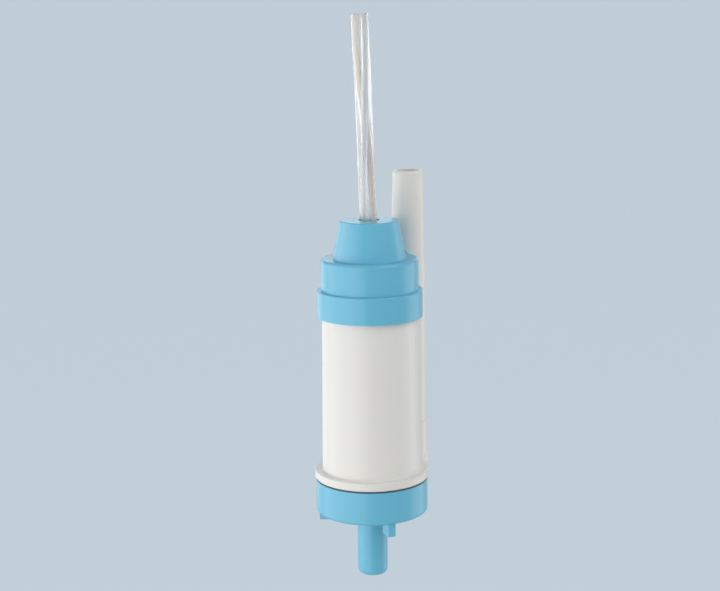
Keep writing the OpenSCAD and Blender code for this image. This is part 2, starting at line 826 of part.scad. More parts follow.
// A pole's shoe, seen along the shaft
module shoe_outline() {
    far_x = 2 * armature_r;
    far_y = far_x * tan(pole_deg / 2);
    intersection() {
        difference() {
            circle(armature_r);
            circle(armature_r - pole_t);
        }
        polygon([[0, 0], [far_x, -far_y], [far_x, far_y]]);
    }
}

module armature_outline() {
    difference() {
        union() {
            circle(core_hub_r);
            around(POLES) {
                translate([0, -tooth_w / 2]) square([armature_r - pole_t / 2, tooth_w]);
                shoe_outline();
            }
        }
        circle(press_bore_r);
    }
}

module armature_core() {
    color(zinc_steel) translate([0, 0, core_z]) linear_extrude(core_top - core_z) armature_outline();
}

module winding_outline() {
    r_out = armature_r - pole_t - winding_gap;
    difference() {
        circle(r_out);
        circle(core_hub_r + winding_gap);
        around(POLES) translate([0, -tooth_w / 2 - winding_gap])
            square([armature_r, tooth_w + 2 * winding_gap]);
    }
}

module armature_windings() {
    r_out = armature_r - pole_t - winding_gap;
    color(bare_copper) {
        translate([0, 0, core_z - winding_gap - over])
            linear_extrude(core_top - core_z + 2 * (winding_gap + over)) winding_outline();
        ring(r_out, core_hub_r + winding_gap, core_z - winding_gap - winding_l, core_z - winding_gap);
        ring(r_out, core_hub_r + winding_gap, core_top + winding_gap, core_top + winding_gap + winding_l);
    }
}

module rotor_spacers() {
    spacer_r = 2.6;
    front_z = front_bearing_z + bearing_l + thrust_gap + thrust_washer_t;
    color(white_plastic) {
        ring(spacer_r, press_bore_r, front_z, core_z);
        ring(spacer_r, press_bore_r, core_top, commutator_z);
    }
}

module thrust_washers() {
    front_z = front_bearing_z + bearing_l + thrust_gap;
    rear_z = commutator_z + commutator_l;
    color(zinc_steel) {
        ring(bearing_r - washer_inset, press_bore_r, front_z, front_z + thrust_washer_t);
        ring(bearing_r - washer_inset, press_bore_r, rear_z, rear_bearing_z - thrust_gap);
    }
}

module commutator_body() {
    color(black_plastic) ring(commutator_core_r, press_bore_r, commutator_z, commutator_z + commutator_l);
}

module commutator_segments() {
    deg = 360 / POLES - segment_gap_deg;
    color(bare_copper) around(POLES) {
        sector(commutator_r, commutator_core_r, commutator_z, commutator_z + commutator_l, deg);
        sector(commutator_r + tang_reach, commutator_r - segment_t / 2, tang_z, tang_z + tang_h, deg / 4);
    }
}

// Impeller with swept-back vanes
function vane_point(t, side) =
    let (r = vane_eye_r + (impeller_r - vane_eye_r) * t, a = -vane_sweep * t)
    [r * cos(a) - side * vane_t / 2 * sin(a - 45), r * sin(a) + side * vane_t / 2 * cos(a - 45)];

module vane_outline() {
    polygon(concat(
        [for (i = [0 : vane_steps]) vane_point(i / vane_steps, -1)],
        [for (i = [vane_steps : -1 : 0]) vane_point(i / vane_steps, 1)]));
}

module impeller() {
    color(white_plastic) difference() {
        union() {
            translate([0, 0, plate_z]) cylinder(r = impeller_r, h = plate_t);
            translate([0, 0, plate_z - vane_h / 2])
                cylinder(r = hub_r, h = hub_top - plate_z + vane_h / 2);
            intersection() {
                translate([0, 0, impeller_z])
                    linear_extrude(vane_h + plate_t / 2) around(VANES) vane_outline();
                translate([0, 0, impeller_z - over])
                    cylinder(r = impeller_r, h = vane_h + plate_t + over);
            }
        }
        translate([0, 0, impeller_z - over]) cylinder(r = press_bore_r, h = hub_top - impeller_z + 2 * over);
    }
}

at_outlet_origin() pump_housing();
at_outlet_origin() outlet_pipe();
at_outlet_origin() base_cover();
at_outlet_origin() base_gasket();
at_outlet_origin() top_cap();
at_outlet_origin() cap_seal_ring();
at_outlet_origin() potting_resin();
at_outlet_origin() cable_sheath();
at_outlet_origin() conductor_tinned();
at_outlet_origin() conductor_copper();
at_outlet_origin() motor_can();
at_outlet_origin() motor_magnets();
at_outlet_origin() magnet_clips();
at_outlet_origin() front_bearing();
at_outlet_origin() rear_bearing();
at_outlet_origin() motor_end_cap();
at_outlet_origin() brush_holders();
at_outlet_origin() brush_right();
at_outlet_origin() brush_left();
at_outlet_origin() brush_spring_right();
at_outlet_origin() brush_spring_left();
at_outlet_origin() motor_terminals();
at_outlet_origin() suppression_capacitor();
at_outlet_origin() motor_gasket();
at_outlet_origin() motor_cushion();
at_outlet_origin() shaft_seal();
at_outlet_origin() seal_spring();
at_outlet_origin() seal_washer();
at_outlet_origin() motor_shaft();
at_outlet_origin() armature_core();
at_outlet_origin() armature_windings();
at_outlet_origin() rotor_spacers();
at_outlet_origin() thrust_washers();
at_outlet_origin() commutator_body();
at_outlet_origin() commutator_segments();
at_outlet_origin() impeller();
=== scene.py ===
"""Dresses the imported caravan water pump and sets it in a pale, softly lit studio."""

import json
import logging
import math
from dataclasses import dataclass
from enum import Enum

import bmesh
import bpy
import numpy as np
from mathutils import Matrix, Vector


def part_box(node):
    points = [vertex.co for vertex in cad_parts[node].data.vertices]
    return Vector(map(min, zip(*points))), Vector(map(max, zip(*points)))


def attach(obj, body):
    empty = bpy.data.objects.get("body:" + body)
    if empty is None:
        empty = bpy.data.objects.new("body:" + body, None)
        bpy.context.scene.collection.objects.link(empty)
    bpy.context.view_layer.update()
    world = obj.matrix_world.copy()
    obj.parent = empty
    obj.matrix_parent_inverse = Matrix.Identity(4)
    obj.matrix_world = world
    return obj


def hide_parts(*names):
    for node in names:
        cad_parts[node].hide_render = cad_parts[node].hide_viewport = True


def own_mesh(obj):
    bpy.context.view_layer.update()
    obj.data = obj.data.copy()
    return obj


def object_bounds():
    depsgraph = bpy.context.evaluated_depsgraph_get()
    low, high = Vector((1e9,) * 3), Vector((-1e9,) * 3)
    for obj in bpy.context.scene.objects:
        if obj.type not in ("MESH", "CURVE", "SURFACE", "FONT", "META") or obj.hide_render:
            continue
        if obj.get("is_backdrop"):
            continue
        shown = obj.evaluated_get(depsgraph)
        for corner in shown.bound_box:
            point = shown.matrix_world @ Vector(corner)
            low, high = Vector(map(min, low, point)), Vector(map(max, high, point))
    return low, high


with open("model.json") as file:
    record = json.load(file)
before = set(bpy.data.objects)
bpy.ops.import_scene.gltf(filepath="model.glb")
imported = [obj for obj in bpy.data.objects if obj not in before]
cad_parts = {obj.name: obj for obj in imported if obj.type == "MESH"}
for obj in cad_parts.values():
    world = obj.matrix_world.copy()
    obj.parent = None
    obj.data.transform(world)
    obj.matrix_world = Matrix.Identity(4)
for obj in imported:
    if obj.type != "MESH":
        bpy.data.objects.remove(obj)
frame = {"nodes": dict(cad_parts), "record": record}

LOG = logging.getLogger("water_pump")
MM = 0.001
PLASTIC_IOR = 1.5
MERGE_DISTANCE = 0.0001 * MM
END_RINGS = 4
Colour = tuple[float, float, float]
Point = tuple[float, float, float]
Span = tuple[float, float]


class Slot(Enum):
    """The record's material slots, one for each finish."""

    WHITE_PLASTIC = "white_plastic"
    BLUE_PLASTIC = "blue_plastic"
    BLACK_RUBBER = "black_rubber"
    POTTING_RESIN = "potting_resin"
    CLEAR_PVC = "clear_pvc"
    TINNED_COPPER = "tinned_copper"
    COPPER = "copper"
    ZINC_STEEL = "zinc_steel"
    SPRING_STEEL = "spring_steel"
    GROUND_STEEL = "ground_steel"
    FERRITE = "ferrite"
    BRONZE = "bronze"
    BRASS = "brass"
    CARBON = "carbon"
    CERAMIC = "ceramic"
    BLACK_PLASTIC = "black_plastic"


class Body(Enum):
    """The bodies that new pieces ride on."""

    HOUSING = "housing"


class Side(Enum):
    """The two sides of the brush gear."""

    RIGHT = "right"
    LEFT = "left"


class ShaderBoard:
    """A new material's node tree, with short ways to add and join its nodes."""

    def __init__(self, name: str) -> None:
        """Starts a material with one Principled shader and Object coordinates.

        Args:
            name: The material's name.
        """
        self.material = bpy.data.materials.new(name)
        self.material.use_nodes = True
        self.tree = self.material.node_tree
        self.shader = self.tree.nodes["Principled BSDF"]
        self.coords = self.add("ShaderNodeTexCoord")
        self.place = self.coords.outputs["Object"]

    def add(self, kind: str, **values: object) -> bpy.types.Node:
        """Adds one node.

        Args:
            kind: The node's type name.
            **values: Input sockets by name, with an underscore for each space.

        Returns:
            The new node.
        """
        node = self.tree.nodes.new(kind)
        for socket, value in values.items():
            node.inputs[socket.replace("_", " ")].default_value = value
        return node

    def join(self, source: bpy.types.NodeSocket, node: bpy.types.Node, socket: str | int) -> None:
        """Links an output to a node's input."""
        self.tree.links.new(source, node.inputs[socket])

    def set(self, **values: object) -> None:
        """Sets constant values on the shader's own sockets, with an underscore for each space."""
        for socket, value in values.items():
            self.shader.inputs[socket.replace("_", " ")].default_value = value

    def follow_uv(self) -> None:
        """Makes the textures that are added next follow the piece's own UV map, in metres."""
        self.place = self.coords.outputs["UV"]

    def stretched(self, stretch: Point) -> bpy.types.NodeSocket:
        """Coordinates divided by a stretch along each axis, so that blobs grow along the larger ones.

        Args:
            stretch: The stretch along each axis.

        Returns:
            The stretched coordinates' socket.
        """
        node = self.add("ShaderNodeMapping", Scale=tuple(1.0 / s for s in stretch))
        self.join(self.place, node, "Vector")
        return node.outputs["Vector"]

    def noise(
        self, size: float, detail: float = 2.0, stretch: Point = (1.0, 1.0, 1.0)
    ) -> bpy.types.NodeSocket:
        """Cloudy noise.

        Args:
            size: Width of a blob in metres.
            detail: Number of finer layers.
            stretch: How far the blobs are drawn out along each axis.

        Returns:
            The noise's value socket.
        """
        node = self.add("ShaderNodeTexNoise", Scale=1.0 / size, Detail=detail)
        self.join(self.stretched(stretch), node, "Vector")
        return node.outputs["Fac"]

    def cells(self, size: float) -> bpy.types.NodeSocket:
        """Distance to the nearest of scattered points, for pits and grains.

        Args:
            size: Rough distance between the points in metres.

        Returns:
            The distance's socket.
        """
        node = self.add("ShaderNodeTexVoronoi", Scale=1.0 / size)
        self.join(self.place, node, "Vector")
        return node.outputs["Distance"]

    def tint(self, factor: bpy.types.NodeSocket, low: Colour, high: Colour) -> None:
        """Makes the base colour drift with a factor.

        Args:
            factor: The socket that it follows.
            low: The colour where the factor is 0.
            high: The colour where the factor is 1.
        """
        node = self.tree.nodes.new("ShaderNodeMix")
        node.data_type = "RGBA"
        ends = [socket for socket in node.inputs if socket.type == "RGBA"]
        ends[0].default_value = (*low, 1.0)
        ends[1].default_value = (*high, 1.0)
        self.join(factor, node, 0)
        result = next(socket for socket in node.outputs if socket.type == "RGBA")
        self.join(result, self.shader, "Base Color")

    def spread(self, factor: bpy.types.NodeSocket, low: float, high: float, socket: str) -> None:
        """Makes one of the shader's values drift with a factor.

        Args:
            factor: The socket that it follows.
            low: The value where the factor is 0.
            high: The value where the factor is 1.
            socket: The name of the shader's socket.
        """
        node = self.add("ShaderNodeMapRange", To_Min=low, To_Max=high)
        self.join(factor, node, "Value")
        self.join(node.outputs["Result"], self.shader, socket)

    def bump(self, height: bpy.types.NodeSocket, depth: float) -> None:
        """Raises the surface, on top of any earlier bump.

        Args:
            height: The socket that it follows.
            depth: The rise in metres where the height is 1.
        """
        node = self.add("ShaderNodeBump", Distance=depth)
        earlier = self.shader.inputs["Normal"].links
        if earlier:
            self.join(earlier[0].from_socket, node, "Normal")
        self.join(height, node, "Height")
        self.join(node.outputs["Normal"], self.shader, "Normal")


def seen_directly(tree: bpy.types.NodeTree) -> bpy.types.NodeSocket:
    """Tells rays from the camera, off gloss or through clear pieces from those that only bring light.

    Args:
        tree: The node tree that asks.

    Returns:
        A socket that is 1 for such rays and otherwise 0.
    """
    rays = tree.nodes.new("ShaderNodeLightPath")
    result = rays.outputs["Is Camera Ray"]
    for kind in ("Is Glossy Ray", "Is Transmission Ray"):
        either = tree.nodes.new("ShaderNodeMath")
        either.operation = "MAXIMUM"
        tree.links.new(result, either.inputs[0])
        tree.links.new(rays.outputs[kind], either.inputs[1])
        result = either.outputs[0]
    return result


def shade(colour: Colour, share: float) -> Colour:
    """The colour made lighter or darker by a share of itself."""
    return tuple(min(1.0, c * (1.0 + share)) for c in colour)


@dataclass(frozen=True)
class MouldedPlastic:
    """Injection moulded plastic: fine spark-eroded grain, broad flow marks and an even satin gloss."""

    slot: Slot
    colour: Colour
    roughness: float = 0.31
    gloss_drift: float = 0.05
    mottle: float = 0.025
    flow_size: float = 26 * MM
    flow_detail: float = 3.0
    flow_stretch: Point = (1.0, 1.0, 2.4)
    sink_size: float = 9 * MM
    sink_depth: float = 0.03 * MM
    grain_size: float = 0.22 * MM
    grain_depth: float = 0.006 * MM
    relief_detail: float = 1.0

    def material(self) -> bpy.types.Material:
        """Builds the finish.

        Returns:
            The new node material.
        """
        board = ShaderBoard(self.slot.value)
        flow = board.noise(self.flow_size, self.flow_detail, self.flow_stretch)
        board.tint(flow, shade(self.colour, -self.mottle), shade(self.colour, self.mottle))
        low, high = self.roughness - self.gloss_drift, self.roughness + self.gloss_drift
        board.spread(flow, low, high, "Roughness")
        board.bump(board.noise(self.sink_size, self.relief_detail), self.sink_depth)
        board.bump(board.noise(self.grain_size, self.relief_detail), self.grain_depth)
        board.set(IOR=PLASTIC_IOR)
        return board.material


@dataclass(frozen=True)
class SoftRubber:
    """Matt moulded rubber with a dusty bloom."""

    slot: Slot
    colour: Colour
    roughness: Span = (0.62, 0.8)
    bloom: float = 0.5
    bloom_size: float = 3 * MM
    bloom_detail: float = 4.0
    grain_size: float = 0.15 * MM
    grain_depth: float = 0.012 * MM

    def material(self) -> bpy.types.Material:
        """Builds the finish.

        Returns:
            The new node material.
        """
        board = ShaderBoard(self.slot.value)
        bloom = board.noise(self.bloom_size, self.bloom_detail)
        board.tint(bloom, self.colour, shade(self.colour, self.bloom))
        board.spread(bloom, *self.roughness, "Roughness")
        board.bump(board.noise(self.grain_size), self.grain_depth)
        return board.material


@dataclass(frozen=True)
class CastResin:
    """Poured resin: glossy, with low waves and a few small bubbles."""

    slot: Slot
    colour: Colour
    roughness: Span = (0.16, 0.3)
    clouding: float = 0.4
    wave_size: float = 4 * MM
    wave_depth: float = 0.15 * MM
    bubble_size: float = 1.1 * MM
    bubble_depth: float = 0.03 * MM

    def material(self) -> bpy.types.Material:
        """Builds the finish.

        Returns:
            The new node material.
        """
        board = ShaderBoard(self.slot.value)
        waves = board.noise(self.wave_size)
        board.tint(waves, self.colour, shade(self.colour, self.clouding))
        board.spread(waves, *self.roughness, "Roughness")
        board.bump(waves, self.wave_depth)
        board.bump(board.cells(self.bubble_size), self.bubble_depth)
        return board.material


@dataclass(frozen=True)
class ClearSheath:
    """Milky clear soft plastic, drawn through a die, with faint streaks along its length."""

    slot: Slot
    colour: Colour
    roughness: Span = (0.05, 0.11)
    clearness: float = 0.68
    streak_shade: float = 0.03
    streak_width: float = 0.5 * MM
    streak_stretch: float = 40.0
    streak_depth: float = 0.05 * MM

    def material(self) -> bpy.types.Material:
        """Builds the finish on the sheath's UV map.

        Returns:
            The new node material.
        """
        board = ShaderBoard(self.slot.value)
        board.follow_uv()
        streaks = board.noise(self.streak_width, stretch=(1.0, self.streak_stretch, 1.0))
        board.tint(streaks, shade(self.colour, -self.streak_shade), self.colour)
        board.spread(streaks, *self.roughness, "Roughness")
        board.bump(streaks, self.streak_depth)
        board.set(IOR=PLASTIC_IOR, Transmission_Weight=self.clearness)
        return board.material


@dataclass(frozen=True)
class WorkedMetal:
    """Turned, drawn or stamped metal: streaks along one way and patches of dulled surface."""

    slot: Slot
    colour: Colour
    roughness: float = 0.32
    polish: float = 0.08
    dulling: float = 0.1
    patch: float = 0.12
    patch_size: float = 5 * MM
    patch_detail: float = 4.0
    streak_size: float = 0.12 * MM
    streak_stretch: Point = (14.0, 14.0, 1.0)
    streak_depth: float = 0.006 * MM

    def material(self) -> bpy.types.Material:
        """Builds the finish.

        Returns:
            The new node material.
        """
        board = ShaderBoard(self.slot.value)
        patches = board.noise(self.patch_size, self.patch_detail)
        board.tint(patches, shade(self.colour, -self.patch), shade(self.colour, self.patch))
        board.spread(patches, self.roughness - self.polish, self.roughness + self.dulling, "Roughness")
        board.bump(board.noise(self.streak_size, stretch=self.streak_stretch), self.streak_depth)
        board.set(Metallic=1.0)
        return board.material


@dataclass(frozen=True)
class PressedPowder:
    """Pressed and sintered powder: grains, pores and a dull sheen."""

    slot: Slot
    colour: Colour
    metallic: float = 0.0
    roughness: float = 0.6
    gloss_drift: float = 0.1
    mottle: float = 0.2
    grain_size: float = 0.3 * MM
    pore_depth: float = 0.03 * MM

    def material(self) -> bpy.types.Material:
        """Builds the finish.

        Returns:
            The new node material.
        """
        board = ShaderBoard(self.slot.value)
        grains = board.cells(self.grain_size)
        board.tint(grains, shade(self.colour, -self.mottle), shade(self.colour, self.mottle))
        low, high = self.roughness - self.gloss_drift, self.roughness + self.gloss_drift
        board.spread(grains, low, high, "Roughness")
        board.bump(grains, self.pore_depth)
        board.set(Metallic=self.metallic)
        return board.material


Finish = MouldedPlastic | SoftRubber | CastResin | ClearSheath | WorkedMetal | PressedPowder

FINISHES: tuple[Finish, ...] = (
    MouldedPlastic(Slot.WHITE_PLASTIC, (0.80, 0.79, 0.755)),
    MouldedPlastic(Slot.BLUE_PLASTIC, (0.145, 0.505, 0.705), roughness=0.24),
    SoftRubber(Slot.BLACK_RUBBER, (0.07, 0.085, 0.095)),
    CastResin(Slot.POTTING_RESIN, (0.03, 0.03, 0.035)),
    ClearSheath(Slot.CLEAR_PVC, (0.985, 0.985, 0.98)),
    WorkedMetal(Slot.TINNED_COPPER, (0.86, 0.88, 0.93), roughness=0.55),
    WorkedMetal(Slot.COPPER, (0.94, 0.66, 0.45), roughness=0.5),
    WorkedMetal(Slot.ZINC_STEEL, (0.60, 0.62, 0.65)),
    WorkedMetal(Slot.SPRING_STEEL, (0.50, 0.51, 0.54), roughness=0.28),
    WorkedMetal(Slot.GROUND_STEEL, (0.56, 0.57, 0.59), roughness=0.25),
    PressedPowder(Slot.FERRITE, (0.06, 0.06, 0.065), roughness=0.55),
    PressedPowder(Slot.BRONZE, (0.58, 0.38, 0.18), metallic=1.0, roughness=0.45),
    WorkedMetal(Slot.BRASS, (0.76, 0.58, 0.26)),
    PressedPowder(Slot.CARBON, (0.03, 0.03, 0.032), roughness=0.5),
    CastResin(Slot.CERAMIC, (0.55, 0.24, 0.06)),
    MouldedPlastic(Slot.BLACK_PLASTIC, (0.025, 0.025, 0.028), roughness=0.42),
)


@dataclass(frozen=True)
class Surface:
    """A grid of points: rows run along a shape, and columns close round it.

    A first or last row that falls on one point closes the shape there as a pole.
    """

    points: np.ndarray
    arc: np.ndarray
    girth: float

    def grid(self) -> tuple[np.ndarray, np.ndarray]:
        """The row and the column of each cell.

        Returns:
            The rows and the columns, each as an array with the shape of the cells.
        """
        rows, cols = self.points.shape[:2]
        row, col = np.meshgrid(np.arange(rows - 1), np.arange(cols), indexing="ij")
        return row, col

    def faces(self) -> np.ndarray:
        """One square for each cell of the grid, with the last column joined to the first.

        Returns:
            The four points' numbers of each face, one face per row.
        """
        cols = self.points.shape[1]
        row, col = self.grid()
        after = (col + 1) % cols
        corners = [row * cols + col, row * cols + after, (row + 1) * cols + after, (row + 1) * cols + col]
        return np.stack(corners, axis=-1).reshape(-1, 4)

    def uv(self) -> np.ndarray:
        """The way round and the way along at each face's corners.

        Returns:
            Both ways in metres, one corner per row.
        """
        row, col = self.grid()
        step = self.girth / self.points.shape[1]
        across = np.stack([col, col + 1, col + 1, col], axis=-1) * step
        along = np.stack([self.arc[row], self.arc[row], self.arc[row + 1], self.arc[row + 1]], axis=-1)
        return np.stack([across, along], axis=-1).reshape(-1, 2)

    def inward(self) -> "Surface":
        """The same grid with its faces turned, as the wall of a hollow."""
        return Surface(self.points[:, ::-1], self.arc, self.girth)


def mesh_object(name: str, *surfaces: Surface) -> bpy.types.Object:
    """Makes one smooth-shaded object of one or more grids, with their poles merged.

    Args:
        name: The piece's name.
        *surfaces: The grids, with hollows turned inward.

    Returns:
        The new object, at the origin.
    """
    points = [surface.points.reshape(-1, 3) for surface in surfaces]
    starts = np.cumsum([0] + [len(p) for p in points])
    mesh = bpy.data.meshes.new(name)
    mesh.from_pydata(np.vstack(points), [], np.vstack([s.faces() + n for s, n in zip(surfaces, starts)]))
    layer = mesh.uv_layers.new(name="along")
    layer.data.foreach_set("uv", np.vstack([surface.uv() for surface in surfaces]).ravel())
    shell = bmesh.new()
    shell.from_mesh(mesh)
    bmesh.ops.remove_doubles(shell, verts=shell.verts, dist=MERGE_DISTANCE)
    shell.to_mesh(mesh)
    shell.free()
    mesh.polygons.foreach_set("use_smooth", np.ones(len(mesh.polygons), dtype=bool))
    piece = bpy.data.objects.new(name, mesh)
    bpy.context.scene.collection.objects.link(piece)
    return piece


def smooth_line(points: np.ndarray, steps: int) -> np.ndarray:
    """A smooth line through every point.

    Each stretch is a cubic whose slopes at its two ends run between the neighbours on either side.

    Args:
        points: The points to pass through, one per row.
        steps: Number of steps on each stretch.

    Returns:
        The points of the line, one per row.
    """
    padded = np.vstack([2 * points[0] - points[1], points, 2 * points[-1] - points[-2]])
    t = (np.arange(steps) / steps)[None, :, None]
    before, start = padded[:-3, None, :], padded[1:-2, None, :]
    end, after = padded[2:-1, None, :], padded[3:, None, :]
    slope = end - before
    bend = 2 * before - 5 * start + 4 * end - after
    swing = 3 * start - before - 3 * end + after
    cubic = 0.5 * (2 * start + slope * t + bend * t**2 + swing * t**3)
    return np.vstack([cubic.reshape(-1, 3), points[-1]])


def line_length(line: np.ndarray) -> np.ndarray:
    """The way along a line up to each of its points."""
    return np.concatenate([[0.0], np.cumsum(np.linalg.norm(np.diff(line, axis=0), axis=1))])


def round_tube(
    line: np.ndarray, radius: np.ndarray, edge: float, across: Point = (0.0, 1.0, 0.0)
) -> Surface:
    """A round section carried along a line, with both ends rounded off and closed.

    Each row is a ring square to the line: its points are the line's point plus the radius times the
    cosine and sine of the angle along two directions square to the line. At each end, END_RINGS rings
    follow a quarter circle of the edge radius, and one more falls on the line as a pole.

    Args:
        line: The points of the line, one per row.
        radius: The section's radius, as rows by columns.
        edge: Radius of the rounding at both ends.
        across: A direction that the line never runs along.

    Returns:
        The tube's surface.
    """
    cols = radius.shape[1]
    arc = line_length(line)
    ahead = np.gradient(line, axis=0)
    ahead /= np.linalg.norm(ahead, axis=1, keepdims=True)
    quarter = np.linspace(0.0, math.pi / 2, END_RINGS)
    back = edge * (1 - np.sin(quarter))
    inset = edge * (1 - np.cos(quarter))
    middle = slice(*np.searchsorted(arc, [edge, arc[-1] - edge]))
    first = line[0] + ahead[0] * back[::-1, None]
    last = line[-1] - ahead[-1] * back[:, None]
    path = np.vstack([line[:1], first, line[middle], last, line[-1:]])
    first_way = np.tile(ahead[0], (END_RINGS, 1))
    last_way = np.tile(ahead[-1], (END_RINGS, 1))
    way = np.vstack([ahead[:1], first_way, ahead[middle], last_way, ahead[-1:]])
    pole = np.zeros((1, cols))
    first_size = radius[:1] - inset[::-1, None]
    last_size = radius[-1:] - inset[:, None]
    size = np.vstack([pole, first_size, radius[middle], last_size, pole])
    side = np.cross(way, across)
    side /= np.linalg.norm(side, axis=1, keepdims=True)
    up = np.cross(way, side)
    angle = np.arange(cols) * 2 * math.pi / cols
    ring = np.cos(angle)[None, :, None] * side[:, None, :] + np.sin(angle)[None, :, None] * up[:, None, :]
    points = path[:, None, :] + size[:, :, None] * ring
    return Surface(points, line_length(path), 2 * math.pi * float(radius.max()))


@dataclass
class Wardrobe:
    """The finishes, made once each and handed to the pieces by slot."""

    finishes: tuple[Finish, ...] = FINISHES

    def __post_init__(self) -> None:
        """Builds every finish's material."""
        self.materials = {finish.slot.value: finish.material() for finish in self.finishes}

    def dress(self, piece: bpy.types.Object, slot: Slot) -> None:
        """Gives a new piece one slot's finish."""
        piece.data.materials.clear()
        piece.data.materials.append(self.materials[slot.value])

    def dress_frame(self) -> None:
        """Gives every carried-over solid the finish of its slot in the record."""
        for part in frame["record"]["subparts"]:
            solid = frame["nodes"][part["node"]]
            for material_slot in solid.material_slots:
                material_slot.material = self.materials[part["material_slot"]]
            LOG.info("dressed %s as %s", part["node"], part["material_slot"])

    def finish_piece(
        self, piece: bpy.types.Object, slot: Slot, body: Body, *nodes: str
    ) -> bpy.types.Object:
        """Dresses a new piece and ties it to the frame.

        Args:
            piece: The new piece, in place.
            slot: The finish that it takes.
            body: The body that it rides on.
            *nodes: The solids that it stands for.

        Returns:
            The same piece.
        """
        self.dress(piece, slot)
        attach(piece, body.value)
        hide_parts(*nodes)
        LOG.info("built %s with %d faces for %s", piece.name, len(piece.data.polygons), ", ".join(nodes))
        return piece


